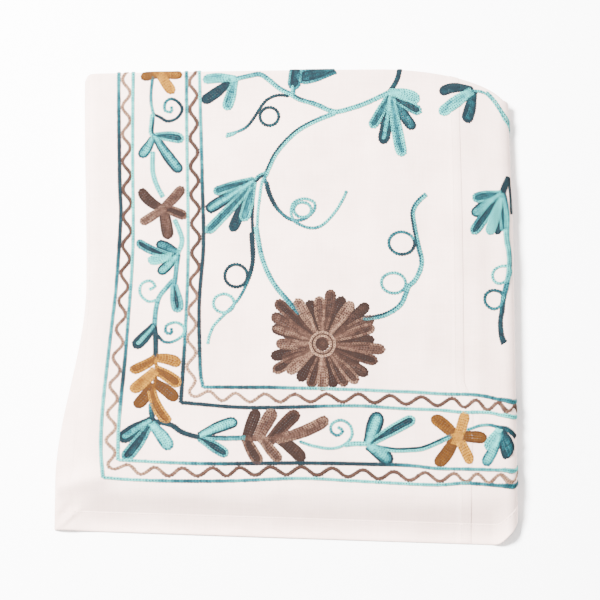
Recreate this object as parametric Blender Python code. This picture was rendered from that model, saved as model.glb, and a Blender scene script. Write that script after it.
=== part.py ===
# Embroidered bedspread, folded flat: two sewn panels of one cotton cloth.
# Metres, +Z up. X runs across the pile from the side hem, Y runs from the end hem to the back fold.
# The cloth is halved twice along its length, and the four layers are then halved twice across.
import math

import bmesh
import bpy

# The cloth as it was cut
CLOTH_WIDTH = 2.20
CLOTH_LENGTH = 2.40
SEAM_FROM_HEM = 0.51
SEAM_GAP = 0.0003
SHEET = 0.0013
LAYER_GAP = 0.0007

# How the layers stack: four layers make a bundle, four bundles make the pile
LAYER_PITCH = SHEET + LAYER_GAP
BUNDLE_PITCH = 4 * LAYER_PITCH
PILE_HEIGHT = 4 * BUNDLE_PITCH
TOP_MIDDLE = 3.5 * BUNDLE_PITCH
OUTER_LAYER = 1.5 * LAYER_PITCH
WIDE_RADIUS = 1.5 * BUNDLE_PITCH

# Where the ends of each length stop at the front, the top hem furthest out
TOP_HEM_Y = -0.014
FRONT_FOLD_Y = 0.013
SECOND_HEM_Y = 0.007

# Each bundle from the top round to the inside: how far it stops short of the top one at the front
# and the back, and of the place where the top one begins to fall over the side
BUNDLES = (
    {"front": 0.000, "back": 0.000, "left": 0.000},
    {"front": 0.076, "back": 0.003, "left": 0.006},
    {"front": 0.050, "back": 0.006, "left": 0.006},
    {"front": 0.038, "back": 0.004, "left": 0.004},
)
FRONT_EASE_IN = 0.012
FRONT_EASE_OUT = 0.020

# Each length of the top bundle: how far its side hem stops short of the top length, in full at the
# flare and less further back
HEM_SET_IN = (0.000, 0.019, 0.019, 0.012)
SET_IN_FADE = 0.034
BACK_SET_IN_SHARE = 0.25

# The side of the top bundle falls steeply over the pile, and flares out to lie flat at the front
ANCHOR_FROM_HEM = 0.19
SIDE = {"edge": -0.003, "angle": math.radians(78), "radius": 0.009}
FLARE = {"edge": -0.040, "angle": math.radians(29), "radius": 0.030}
FLARE_BACK_Y = 0.315
FLARE_FRONT_Y = 0.050
SIDE_LEAN = 0.006
HEM_HEIGHT = 0.0022

# The front slopes to the ground, by less from just inside the wide fold
SLOPE_BACK_Y = 0.046
SLOPE_FRONT_Y = -0.008
SLOPE_FALL = 0.0292
SLOPE_AT_FOLD = 0.46
SLOPE_FADE = 0.02

# The outline seen from above
FRONT_SWING = 0.018
BACK_DIP = 0.007
CORNER_REACH = 0.175
CORNER_DEPTH = 0.060
CORNER_LIMIT = 0.95
CORNER_FADE = 0.30
CORNER_PULL = 0.004
CORNER_SINK = 0.16

# Soft unevenness of the whole pile: share of its height, and waves across and along in each 0.6 m
WAVE_STRETCH = 0.6
WAVES = (
    {"height": 0.020, "across": 0.62, "along": 0.90, "start": 0.6},
    {"height": 0.016, "across": -0.45, "along": 0.52, "start": 2.1},
    {"height": 0.012, "across": 0.95, "along": -0.38, "start": 4.0},
)

# Stretches of the side margin with cells of their own
FALL_MARGIN = 0.004
RISE = 0.036

# Cells of the mesh, across each panel and along: lengths are straight, turns are the folds between
SIDE_CELLS = {"fall": 9, "rise": 5, "margin": 1, "field": 4}
MAIN_CELLS = {"edge": 2, "wide turn": 8, "length": 3, "turn": 4}
ALONG_CELLS = {"slope": 4, "second hem": 1, "top hem": 3, "wide turn": 5, "turn": 4}
SIDE_LENGTH_CELLS = {"flare": 7, "steep": 3}
MAIN_LENGTH_CELLS = {"flare": 3, "steep": 3}

COTTON_WHITE = (0.93, 0.90, 0.88)


def mix(a, b, share):
    return a + (b - a) * share


def ease(share):
    share = min(max(share, 0.0), 1.0)
    return share * share * (3 - 2 * share)


def halved_twice(stage, share, near, far, pitch):
    """A strip halved twice: its place and level at a share of one stage, with its outer side's normal.

    Even stages are straight lengths and odd ones are folds. near holds the near end of each length."""
    if stage % 2 == 0:
        level = (1.5, -1.5, -0.5, 0.5)[stage // 2] * pitch
        if stage in (0, 4):
            return mix(near[stage // 2], far, share), level, 0.0, 1
        return mix(far, near[stage // 2], share), level, 0.0, -1
    aside = math.sin(math.pi * share)
    rise = math.cos(math.pi * share)
    radius = (1.5 if stage == 1 else 0.5) * pitch
    if stage == 1:
        return far + radius * aside, radius * rise, aside, rise
    if stage == 3:
        return near[1] - radius * aside, -pitch - radius * rise, -aside, -rise
    return far + radius * aside, -radius * rise, -aside, rise


def by_length(values, stage, share):
    """A value for each straight length, eased from one to the next round the fold between them."""
    here = values[stage // 2]
    if stage % 2 == 0:
        return here
    return mix(here, values[stage // 2 + 1], ease(share))


def front_end(u, stage, share):
    """How far the front stops short of the top bundle's, eased in before the wide fold and out after it."""
    if stage > 2:
        return by_length([bundle["front"] for bundle in BUNDLES], stage, share)
    into_turn = u - ACROSS_LENGTHS[0] + FRONT_EASE_IN
    return BUNDLES[1]["front"] * ease(into_turn / (ACROSS_LENGTHS[1] + FRONT_EASE_IN + FRONT_EASE_OUT))


def side_profile(edge, angle, radius):
    """The fall at the side: where it begins, its cloth length, and its bend."""
    end_level = HEM_HEIGHT - OUTER_LAYER * math.cos(angle)
    straight = (TOP_MIDDLE - end_level - radius * (1 - math.cos(angle))) / math.sin(angle)
    reach = radius * math.sin(angle) + straight * math.cos(angle)
    start = edge + reach + OUTER_LAYER * math.sin(angle)
    cloth = radius * angle + straight
    return {"start": start, "cloth": cloth, "angle": angle, "radius": radius, "edge": edge}


def flare_at(y):
    return ease((FLARE_BACK_Y - y) / (FLARE_BACK_Y - FLARE_FRONT_Y))


def side_at(y):
    """The fall at a place along the side. Behind the flare the edge leans outward a little."""
    flare = flare_at(y)
    lean = SIDE_LEAN * ease((y - FLARE_BACK_Y) / (BACK_FOLD_Y - FLARE_BACK_Y))
    edge = mix(SIDE["edge"], FLARE["edge"], flare) - lean
    angle = mix(SIDE["angle"], FLARE["angle"], flare)
    return side_profile(edge, angle, mix(SIDE["radius"], FLARE["radius"], flare))


def left_ends(side):
    """The left end of each bundle, all but the top one just inside the fall."""
    return tuple(side["start"] + bundle["left"] for bundle in BUNDLES)


# Cloth lengths of the stages, along and across
def stage_lengths(near, far, pitch, first):
    half_turns = (1.5 * math.pi * pitch, 0.5 * math.pi * pitch, 0.5 * math.pi * pitch)
    return (first, half_turns[0], far - near[1], half_turns[1], far - near[2], half_turns[2], far - near[3])


ALONG_NEAR = (TOP_HEM_Y, FRONT_FOLD_Y, FRONT_FOLD_Y, SECOND_HEM_Y)
BACK_FOLD_Y = (CLOTH_LENGTH - 2.5 * math.pi * LAYER_PITCH + sum(ALONG_NEAR)) / 4
STEEP = side_profile(**SIDE)
ACROSS_NEAR = left_ends(STEEP)
ANCHOR_X = STEEP["start"] + ANCHOR_FROM_HEM - STEEP["cloth"]
FIRST_SLACK = ANCHOR_FROM_HEM - ANCHOR_X
RIGHT_FOLD_X = (CLOTH_WIDTH - 2.5 * math.pi * BUNDLE_PITCH + sum(ACROSS_NEAR[1:]) - FIRST_SLACK) / 4
ALONG_LENGTHS = stage_lengths(ALONG_NEAR, BACK_FOLD_Y, LAYER_PITCH, BACK_FOLD_Y - TOP_HEM_Y)
ACROSS_LENGTHS = stage_lengths(ACROSS_NEAR, RIGHT_FOLD_X, BUNDLE_PITCH, RIGHT_FOLD_X + FIRST_SLACK)


def find_stage(distance, lengths):
    """Which stage a distance along the cloth lies in, and its share of that stage."""
    for stage, length in enumerate(lengths):
        if distance <= length or stage == len(lengths) - 1:
            return stage, distance / length
        distance -= length


def over_the_side(inward, out, side):
    """A point of the top bundle by its distance in from the hem, bent down over the side of the pile."""
    beyond = side["cloth"] - inward
    if beyond <= 0:
        return side["start"] - beyond, TOP_MIDDLE + out
    bend = min(beyond / side["radius"], side["angle"])
    straight = max(beyond - side["radius"] * side["angle"], 0.0)
    arm = side["radius"] + out
    x = side["start"] - arm * math.sin(bend) - straight * math.cos(bend)
    return x, TOP_MIDDLE - side["radius"] + arm * math.cos(bend) - straight * math.sin(bend)


def fold(u, v, lift):
    """Where a point of the flat cloth comes to lie. lift is its height on the embroidered side."""
    along_stage, along_share = find_stage(v, ALONG_LENGTHS)
    y, out, out_y, out_level = halved_twice(along_stage, along_share, ALONG_NEAR, BACK_FOLD_Y, LAYER_PITCH)
    y += lift * out_y
    out += lift * out_level

    across_stage, across_share = find_stage(u, ACROSS_LENGTHS)
    front = front_end(u, across_stage, across_share)
    back = by_length([bundle["back"] for bundle in BUNDLES], across_stage, across_share)
    y = mix(TOP_HEM_Y + front, BACK_FOLD_Y - back, (y - TOP_HEM_Y) / (BACK_FOLD_Y - TOP_HEM_Y))

    if u < ANCHOR_FROM_HEM:
        side = side_at(y)
        set_in = by_length(HEM_SET_IN, along_stage, along_share) * mix(BACK_SET_IN_SHARE, 1.0, flare_at(y))
        cloth = ANCHOR_X - side["start"] + side["cloth"]
        inward = cloth * u / ANCHOR_FROM_HEM
        x, z = over_the_side(inward + set_in * max(1 - inward / SET_IN_FADE, 0.0), out, side)
    else:
        near = left_ends(side_at(y))
        x, level, out_x, out_up = halved_twice(across_stage, across_share, near, RIGHT_FOLD_X, BUNDLE_PITCH)
        x += out * out_x
        z = PILE_HEIGHT / 2 + level + out * out_up
        if across_stage == 0:
            x = ANCHOR_X + (u - ANCHOR_FROM_HEM)
    return settle(x, y, z)


def corner_shares(x, y):
    """How far a point lies into the rounded back right corner, across and along."""
    right_edge = RIGHT_FOLD_X + PILE_HEIGHT / 2
    across = min(max((x - right_edge + CORNER_REACH) / CORNER_REACH, 0.0), CORNER_LIMIT)
    return across, ease((y - BACK_FOLD_Y + CORNER_FADE) / CORNER_FADE)


def settle(x, y, z):
    """The uneven outline and height that the neat pile takes as it lies."""
    across, along = corner_shares(x, y)
    x_share = x / RIGHT_FOLD_X
    y_share = y / BACK_FOLD_Y
    rounding = CORNER_DEPTH * (1 - math.sqrt(1 - across * across))
    y -= FRONT_SWING * x_share * (1 - y_share) + BACK_DIP * (1 - x_share) ** 2 * y_share
    y -= rounding * along
    x -= CORNER_PULL * across * along ** 2
    swell = 1 - CORNER_SINK * across * along
    for wave in WAVES:
        waves_passed = (wave["across"] * x + wave["along"] * y) / WAVE_STRETCH
        swell += wave["height"] * math.cos(2 * math.pi * waves_passed + wave["start"])
    return x, y, (z - LAYER_GAP / 2) * swell - front_slope(x, y)


def front_slope(x, y):
    """How far the front has sunk to the ground. It fades out where the side already lies low."""
    front_y = -FRONT_SWING * x / RIGHT_FOLD_X
    share = ease((SLOPE_BACK_Y + front_y - y) / (SLOPE_BACK_Y - SLOPE_FRONT_Y))
    side = side_at(y)
    from_left = ease((x - side["edge"]) / (side["start"] - side["edge"]))
    into_fold = x - RIGHT_FOLD_X + SLOPE_FADE
    from_right = mix(1.0, SLOPE_AT_FOLD, ease(into_fold / (WIDE_RADIUS + SLOPE_FADE)))
    return SLOPE_FALL * share * from_left * from_right


def stations(spans):
    """Cell borders from spans of cloth, each with its length and its number of cells."""
    places = [0.0]
    for length, cells in spans:
        start = places[-1]
        places += [start + length * (step + 1) / cells for step in range(cells)]
    return places


def along_spans(length_cells):
    """Spans along the cloth. The lengths share their cell borders, so that their slopes lie parallel."""
    cells = ALONG_CELLS
    slope = (SLOPE_BACK_Y - FRONT_FOLD_Y, cells["slope"])
    second_hem = (FRONT_FOLD_Y - SECOND_HEM_Y, cells["second hem"])
    top_hem = (SECOND_HEM_Y - TOP_HEM_Y, cells["top hem"])
    flare = (FLARE_BACK_Y - SLOPE_BACK_Y, length_cells["flare"])
    steep = (BACK_FOLD_Y - FLARE_BACK_Y, length_cells["steep"])
    wide_turn, front_turn, back_turn = (ALONG_LENGTHS[stage] for stage in (1, 3, 5))
    return (
        (top_hem, second_hem, slope, flare, steep)
        + ((wide_turn, cells["wide turn"]), steep, flare, slope)
        + ((front_turn, cells["turn"]), slope, flare, steep)
        + ((back_turn, cells["turn"]), steep, flare, slope, second_hem)
    )


def side_stations():
    """Cell borders across the side panel, finest where it falls over the side and rises again."""
    fall = STEEP["cloth"] + FALL_MARGIN
    return stations((
        (fall, SIDE_CELLS["fall"]),
        (RISE, SIDE_CELLS["rise"]),
        (ANCHOR_FROM_HEM - fall - RISE, SIDE_CELLS["margin"]),
        (SEAM_FROM_HEM - ANCHOR_FROM_HEM - SEAM_GAP / 2, SIDE_CELLS["field"]),
    ))


def main_stations():
    """Cell borders across the main panel, from the seam round the three folds to its last hem."""
    start = SEAM_FROM_HEM + SEAM_GAP / 2
    spans = [(ACROSS_LENGTHS[0] - start, MAIN_CELLS["edge"]), (ACROSS_LENGTHS[1], MAIN_CELLS["wide turn"])]
    for stage, length in enumerate(ACROSS_LENGTHS[2:]):
        spans.append((length, MAIN_CELLS["turn" if stage % 2 else "length"]))
    return [start + place for place in stations(spans)]


def flat_slab(name, across, along):
    """A flat cloth of cells with the sheet's thickness, its diagonals set so that the layers match."""
    bm = bmesh.new()
    bmesh.ops.create_grid(bm, x_segments=len(across) - 1, y_segments=len(along) - 1, size=0.5)
    for vert in bm.verts:
        vert.co.x = across[round((vert.co.x + 0.5) * (len(across) - 1))]
        vert.co.y = along[round((vert.co.y + 0.5) * (len(along) - 1))]
        vert.co.z = SHEET / 2
    mirrored = []
    plain = []
    for face in bm.faces:
        middle = face.calc_center_median()
        across_passed = find_stage(middle.x, ACROSS_LENGTHS)[0] // 2
        along_passed = find_stage(middle.y, ALONG_LENGTHS)[0] // 2
        (mirrored if (across_passed + along_passed) % 2 else plain).append(face)
    bmesh.ops.triangulate(bm, faces=plain, quad_method="FIXED")
    bmesh.ops.triangulate(bm, faces=mirrored, quad_method="ALTERNATE")
    lower = bmesh.ops.extrude_face_region(bm, geom=bm.faces[:], use_keep_orig=True)
    for part in lower["geom"]:
        if isinstance(part, bmesh.types.BMVert):
            part.co.z = -SHEET / 2
    bmesh.ops.recalc_face_normals(bm, faces=bm.faces)
    mesh = bpy.data.meshes.new(name)
    bm.to_mesh(mesh)
    bm.free()
    return mesh


def cotton(name, colour):
    material = bpy.data.materials.new(name)
    material.use_nodes = True
    shader = material.node_tree.nodes["Principled BSDF"]
    shader.inputs["Base Color"].default_value = (*colour, 1.0)
    shader.inputs["Roughness"].default_value = 0.9
    shader.inputs["Metallic"].default_value = 0.0
    return material


def make_panel(name, across, along, material, collection):
    mesh = flat_slab(name, across, along)
    for vert in mesh.vertices:
        vert.co = fold(*vert.co)
    mesh.materials.append(material)
    mesh.shade_smooth()
    panel = bpy.data.objects.new(name, mesh)
    collection.objects.link(panel)
    return panel


def stand_on_origin(panels):
    """Moves the folded cloth so that the middle of its box is over the origin and it stands on z = 0."""
    points = [vert.co for panel in panels for vert in panel.data.vertices]
    low = [min(point[axis] for point in points) for axis in range(3)]
    high = [max(point[axis] for point in points) for axis in range(3)]
    for point in points:
        point.x -= (low[0] + high[0]) / 2
        point.y -= (low[1] + high[1]) / 2
        point.z -= low[2]


def main():
    for old in list(bpy.data.objects):
        bpy.data.objects.remove(old, do_unlink=True)
    collection = bpy.data.collections.new("Embroidered bedspread")
    bpy.context.scene.collection.children.link(collection)

    side_along = stations(along_spans(SIDE_LENGTH_CELLS))
    side_cotton = cotton("side cotton", COTTON_WHITE)
    side_panel = make_panel("side_panel", side_stations(), side_along, side_cotton, collection)
    main_along = stations(along_spans(MAIN_LENGTH_CELLS))
    main_cotton = cotton("main cotton", COTTON_WHITE)
    main_panel = make_panel("main_panel", main_stations(), main_along, main_cotton, collection)
    stand_on_origin([side_panel, main_panel])


main()
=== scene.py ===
import math
import random

import bmesh
import bpy
import numpy as np
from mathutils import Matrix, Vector, noise


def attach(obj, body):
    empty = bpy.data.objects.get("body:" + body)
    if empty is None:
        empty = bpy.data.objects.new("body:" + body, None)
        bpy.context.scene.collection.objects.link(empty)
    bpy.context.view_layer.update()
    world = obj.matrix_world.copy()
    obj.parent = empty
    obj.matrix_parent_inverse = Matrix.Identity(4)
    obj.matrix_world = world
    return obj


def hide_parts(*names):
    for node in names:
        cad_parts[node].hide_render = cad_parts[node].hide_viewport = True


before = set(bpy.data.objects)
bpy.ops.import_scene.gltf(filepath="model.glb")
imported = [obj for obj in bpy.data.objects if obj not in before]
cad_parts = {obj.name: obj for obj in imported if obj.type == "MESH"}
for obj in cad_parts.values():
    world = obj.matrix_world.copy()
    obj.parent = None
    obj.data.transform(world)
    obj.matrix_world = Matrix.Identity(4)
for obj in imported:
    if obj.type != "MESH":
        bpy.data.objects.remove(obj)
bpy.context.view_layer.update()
mm = 0.001


def mix(a, b, share):
    return a + (b - a) * share


def within(share):
    return min(max(share, 0.0), 1.0)


def ease(share):
    share = within(share)
    return share * share * (3 - 2 * share)


def finishMesh(name, bm):
    mesh = bpy.data.meshes.new(name)
    bm.to_mesh(mesh)
    bm.free()
    return mesh


def addObject(name, data):
    made = bpy.data.objects.new(name, data)
    bpy.context.scene.collection.objects.link(made)
    return made


# The photograph's view: nearly straight down, from far off
view = {
    "distance": 4.5,
    "elevation": math.radians(76),
    "lens": 205.2,
    "sensor": 36,
    "clipEnd": 50,
    "aim": (0.0183, 0.0085, 0.0),
}


def setCamera():
    back = Vector((0, -math.cos(view["elevation"]), math.sin(view["elevation"])))
    data = bpy.data.cameras.new("camera")
    data.lens = view["lens"]
    data.sensor_width = view["sensor"]
    data.clip_end = view["clipEnd"]
    camera = addObject("camera", data)
    camera.location = Vector(view["aim"]) + back * view["distance"]
    camera.rotation_euler = (math.pi / 2 - view["elevation"], 0, 0)
    bpy.context.scene.camera = camera


setCamera()
print("camera set")

# The fold, as the solids have it. Places on the flat cloth are u across from the side hem
# and v along from the end hem, in metres
cloth = {
    "width": 2.20,
    "length": 2.40,
    "seam": 0.51,
    "seamGap": 0.0003,
    "solidSheet": 0.0013,
    "layerPitch": 0.0020,
    "layerGap": 0.0007,
    "topHemY": -0.014,
    "frontFoldY": 0.013,
    "secondHemY": 0.007,
    "bundleFront": (0.000, 0.076, 0.050, 0.038),
    "bundleBack": (0.000, 0.003, 0.006, 0.004),
    "bundleLeft": (0.000, 0.006, 0.006, 0.004),
    "frontEaseIn": 0.012,
    "frontEaseOut": 0.020,
    "hemSetIn": (0.000, 0.019, 0.019, 0.012),
    "setInFade": 0.034,
    "backSetInShare": 0.25,
    "anchor": 0.19,
    "side": {"edge": -0.003, "angle": math.radians(78), "radius": 0.009},
    "flare": {"edge": -0.040, "angle": math.radians(29), "radius": 0.030},
    "flareBackY": 0.315,
    "flareFrontY": 0.050,
    "sideLean": 0.006,
    "hemHeight": 0.0022,
    "slopeBackY": 0.046,
    "slopeFrontY": -0.008,
    "slopeFall": 0.0292,
    "slopeAtFold": 0.46,
    "slopeFade": 0.02,
    "frontSwing": 0.018,
    "backDip": 0.007,
    "cornerReach": 0.175,
    "cornerDepth": 0.060,
    "cornerLimit": 0.95,
    "cornerFade": 0.30,
    "cornerPull": 0.004,
    "cornerSink": 0.16,
    "waveStretch": 0.6,
    "waves": ((0.020, 0.62, 0.90, 0.6), (0.016, -0.45, 0.52, 2.1), (0.012, 0.95, -0.38, 4.0)),
}
layerPitch = cloth["layerPitch"]
bundlePitch = 4 * layerPitch
pileHeight = 4 * bundlePitch
topMiddle = 3.5 * bundlePitch
outerLayer = 1.5 * layerPitch
wideRadius = 1.5 * bundlePitch


def halvedTwice(stage, share, near, far, pitch):
    if stage % 2 == 0:
        level = (1.5, -1.5, -0.5, 0.5)[stage // 2] * pitch
        if stage in (0, 4):
            return mix(near[stage // 2], far, share), level, 0.0, 1
        return mix(far, near[stage // 2], share), level, 0.0, -1
    aside = math.sin(math.pi * share)
    rise = math.cos(math.pi * share)
    radius = (1.5 if stage == 1 else 0.5) * pitch
    if stage == 1:
        return far + radius * aside, radius * rise, aside, rise
    if stage == 3:
        return near[1] - radius * aside, -pitch - radius * rise, -aside, -rise
    return far + radius * aside, -radius * rise, -aside, rise


def byLength(values, stage, share):
    here = values[stage // 2]
    return here if stage % 2 == 0 else mix(here, values[stage // 2 + 1], ease(share))


def sideProfile(edge, angle, radius):
    endLevel = cloth["hemHeight"] - outerLayer * math.cos(angle)
    straight = (topMiddle - endLevel - radius * (1 - math.cos(angle))) / math.sin(angle)
    reach = radius * math.sin(angle) + straight * math.cos(angle)
    start = edge + reach + outerLayer * math.sin(angle)
    length = radius * angle + straight
    return {"start": start, "cloth": length, "angle": angle, "radius": radius, "edge": edge}


def flareAt(y):
    return ease((cloth["flareBackY"] - y) / (cloth["flareBackY"] - cloth["flareFrontY"]))


def sideAt(y):
    flare = flareAt(y)
    lean = cloth["sideLean"] * ease((y - cloth["flareBackY"]) / (backFoldY - cloth["flareBackY"]))
    edge = mix(cloth["side"]["edge"], cloth["flare"]["edge"], flare) - lean
    angle = mix(cloth["side"]["angle"], cloth["flare"]["angle"], flare)
    return sideProfile(edge, angle, mix(cloth["side"]["radius"], cloth["flare"]["radius"], flare))


def leftEnds(side):
    return tuple(side["start"] + left for left in cloth["bundleLeft"])


def stageLengths(near, far, pitch, first):
    wide = 1.5 * math.pi * pitch
    tight = 0.5 * math.pi * pitch
    return (first, wide, far - near[1], tight, far - near[2], tight, far - near[3])


alongNear = (cloth["topHemY"], cloth["frontFoldY"], cloth["frontFoldY"], cloth["secondHemY"])
backFoldY = (cloth["length"] - 2.5 * math.pi * layerPitch + sum(alongNear)) / 4
steep = sideProfile(**cloth["side"])
acrossNear = leftEnds(steep)
anchorX = steep["start"] + cloth["anchor"] - steep["cloth"]
firstSlack = cloth["anchor"] - anchorX
rightFoldX = (cloth["width"] - 2.5 * math.pi * bundlePitch + sum(acrossNear[1:]) - firstSlack) / 4
alongLengths = stageLengths(alongNear, backFoldY, layerPitch, backFoldY - cloth["topHemY"])
acrossLengths = stageLengths(acrossNear, rightFoldX, bundlePitch, rightFoldX + firstSlack)


def findStage(distance, lengths):
    for stage, length in enumerate(lengths):
        if distance <= length or stage == len(lengths) - 1:
            return stage, distance / length
        distance -= length


def frontEnd(u, stage, share):
    if stage > 2:
        return byLength(cloth["bundleFront"], stage, share)
    intoTurn = u - acrossLengths[0] + cloth["frontEaseIn"]
    turn = acrossLengths[1] + cloth["frontEaseIn"] + cloth["frontEaseOut"]
    return cloth["bundleFront"][1] * ease(intoTurn / turn)


def overTheSide(inward, out, side):
    beyond = side["cloth"] - inward
    if beyond <= 0:
        return side["start"] - beyond, topMiddle + out
    bend = min(beyond / side["radius"], side["angle"])
    straight = max(beyond - side["radius"] * side["angle"], 0.0)
    arm = side["radius"] + out
    x = side["start"] - arm * math.sin(bend) - straight * math.cos(bend)
    return x, topMiddle - side["radius"] + arm * math.cos(bend) - straight * math.sin(bend)


def frontSlope(x, y):
    frontY = -cloth["frontSwing"] * x / rightFoldX
    share = ease((cloth["slopeBackY"] + frontY - y) / (cloth["slopeBackY"] - cloth["slopeFrontY"]))
    side = sideAt(y)
    fromLeft = ease((x - side["edge"]) / (side["start"] - side["edge"]))
    intoFold = x - rightFoldX + cloth["slopeFade"]
    fromRight = mix(1.0, cloth["slopeAtFold"], ease(intoFold / (wideRadius + cloth["slopeFade"])))
    return cloth["slopeFall"] * share * fromLeft * fromRight


def settle(x, y, z):
    across = (x - rightFoldX - pileHeight / 2 + cloth["cornerReach"]) / cloth["cornerReach"]
    across = min(max(across, 0.0), cloth["cornerLimit"])
    along = ease((y - backFoldY + cloth["cornerFade"]) / cloth["cornerFade"])
    xShare = x / rightFoldX
    yShare = y / backFoldY
    rounding = cloth["cornerDepth"] * (1 - math.sqrt(1 - across * across))
    y -= cloth["frontSwing"] * xShare * (1 - yShare) + cloth["backDip"] * (1 - xShare) ** 2 * yShare
    y -= rounding * along
    x -= cloth["cornerPull"] * across * along ** 2
    swell = 1 - cloth["cornerSink"] * across * along
    for height, acrossPart, alongPart, start in cloth["waves"]:
        passed = (acrossPart * x + alongPart * y) / cloth["waveStretch"]
        swell += height * math.cos(2 * math.pi * passed + start)
    return x, y, (z - cloth["layerGap"] / 2) * swell - frontSlope(x, y)


def foldCloth(u, v, lift):
    alongStage, alongShare = findStage(v, alongLengths)
    y, out, outY, outLevel = halvedTwice(alongStage, alongShare, alongNear, backFoldY, layerPitch)
    y += lift * outY
    out += lift * outLevel

    acrossStage, acrossShare = findStage(u, acrossLengths)
    front = frontEnd(u, acrossStage, acrossShare)
    back = byLength(cloth["bundleBack"], acrossStage, acrossShare)
    alongFold = (y - cloth["topHemY"]) / (backFoldY - cloth["topHemY"])
    y = mix(cloth["topHemY"] + front, backFoldY - back, alongFold)

    if u < cloth["anchor"]:
        side = sideAt(y)
        setIn = byLength(cloth["hemSetIn"], alongStage, alongShare)
        setIn *= mix(cloth["backSetInShare"], 1.0, flareAt(y))
        inward = (anchorX - side["start"] + side["cloth"]) * u / cloth["anchor"]
        x, z = overTheSide(inward + setIn * max(1 - inward / cloth["setInFade"], 0.0), out, side)
    else:
        near = leftEnds(sideAt(y))
        x, level, outX, outUp = halvedTwice(acrossStage, acrossShare, near, rightFoldX, bundlePitch)
        x += out * outX
        z = pileHeight / 2 + level + out * outUp
        if acrossStage == 0:
            x = anchorX + (u - cloth["anchor"])
    return settle(x, y, z)


def findShift():
    # How far the fold moves so that the middle of its box is over the origin
    half = cloth["solidSheet"] / 2
    topLength = alongLengths[0]
    wideTurn = acrossLengths[0] + acrossLengths[1] / 2
    backTurn = topLength + alongLengths[1] / 2
    steps = [i / 300 for i in range(301)]
    right = max(foldCloth(wideTurn, s * topLength, half)[0] for s in steps)
    left = min(foldCloth(0.0, s * topLength, lift)[0] for s in steps for lift in (-half, half))
    back = max(foldCloth(s * wideTurn, backTurn, half)[1] for s in steps)
    front = min(foldCloth(s * wideTurn, 0.0, lift)[1] for s in steps for lift in (-half, half))
    print("folded box", round((right - left) / mm, 2), round((back - front) / mm, 2))
    return -(left + right) / 2, -(front + back) / 2


shift = findShift()

# Soft unevenness of the cloth that shows, with heights, sizes and fades in mm
soft = {
    "wide": {"height": 0.9, "size": 62, "seed": 3.1},
    "fine": {"height": 0.28, "size": 17, "seed": 8.7},
    "sideFade": 10,
    "endFade": 6,
    "foldFade": 30,
    "backFade": 12,
    "underside": 1.2,
    "underFade": 14,
    "creaseReach": 7,
}
# Ridges and one trough, listed one by one: start and end in mm on the flat cloth, height and width
creases = (
    ((-4, 52), (48, 64), 9.0, 12),
    ((9, 4), (31, 25), 2.8, 2.4),
    ((0, 12), (15, 27), -3.2, 5),
    ((40, 46), (44, 330), 1.6, 12),
    ((16, 210), (22, 430), 1.4, 8),
    ((70, 46), (240, 40), 1.4, 8),
    ((300, 34), (500, 42), 1.3, 9),
    ((262, 205), (290, 330), 0.9, 13),
    ((205, 240), (212, 400), 0.8, 12),
    ((380, 200), (402, 540), 1.0, 15),
    ((300, 470), (390, 500), 0.9, 12),
    ((460, 230), (478, 400), 1.2, 11),
    ((501, 330), (505, 600), 4.0, 24),
    ((527, 150), (532, 470), 1.8, 11),
)


def creaseAt(start, end, height, width, u, v):
    alongU = end[0] - start[0]
    alongV = end[1] - start[1]
    length = math.hypot(alongU, alongV)
    share = ((u - start[0]) * alongU + (v - start[1]) * alongV) / length ** 2
    away = math.hypot(u - start[0] - share * alongU, v - start[1] - share * alongV) / width
    past = max(-share, share - 1, 0) * length / (2 * width)
    spread = away ** 2 + past ** 2
    return height * math.exp(-spread) if spread < soft["creaseReach"] else 0.0


def relief(u, v):
    # How far the cloth stands off its plain fold, in metres
    if v > alongLengths[0] or u > sum(acrossLengths[:3]):
        return 0.0
    fade = ease((alongLengths[0] - v) / (soft["backFade"] * mm))
    underStart = sum(acrossLengths[:2])
    if u > underStart:
        # the layer on the ground is held up a little by its own embroidery
        return -soft["underside"] * mm * fade
    height = 0.0
    for kind in ("wide", "fine"):
        one = soft[kind]
        place = Vector((u / mm / one["size"], v / mm / one["size"], one["seed"]))
        height += one["height"] * noise.noise(place)
    for crease in creases:
        height += creaseAt(*crease, u / mm, v / mm)
    held = soft["underside"] * ease((u - underStart) / (soft["underFade"] * mm) + 1)
    free = ease(u / (soft["sideFade"] * mm)) * ease(v / (soft["endFade"] * mm))
    free *= ease((acrossLengths[0] - u) / (soft["foldFade"] * mm))
    return (height * free - held) * mm * fade


# The seam swings to the right where it crosses the border, in metres on the flat cloth
seamSwing = {"reach": 0.011, "width": 0.024, "top": 0.205, "topFade": 0.03, "atHem": 0.72,
             "hemTop": 0.05, "hemFade": 0.12}


def drift(u, v):
    if v > alongLengths[0]:
        return 0.0
    nearSeam = math.exp(-((u - cloth["seam"]) / seamSwing["width"]) ** 2)
    low = ease((seamSwing["top"] - v) / seamSwing["topFade"])
    low *= mix(seamSwing["atHem"], 1.0, ease((v - seamSwing["hemTop"]) / seamSwing["hemFade"]))
    return seamSwing["reach"] * nearSeam * low


def onCloth(u, v, lift):
    x, y, z = foldCloth(u, v, lift + relief(u, v))
    return x + shift[0], y + shift[1], z


# Materials
def linear(hexColour):
    parts = [int(hexColour[i:i + 2], 16) / 255 for i in (0, 2, 4)]
    return [p / 12.92 if p <= 0.04045 else ((p + 0.055) / 1.055) ** 2.4 for p in parts]


def addNode(tree, kind, settings=None, links=None, output=0):
    # Adds a node with its settings and the sockets that feed it, and hands back the output asked for
    node = tree.nodes.new(kind)
    for name, value in (settings or {}).items():
        if isinstance(name, str) and hasattr(node, name):
            setattr(node, name, value)
        else:
            node.inputs[name].default_value = value
    for name, socket in (links or {}).items():
        tree.links.new(socket, node.inputs[name])
    return node.outputs[output]


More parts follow.
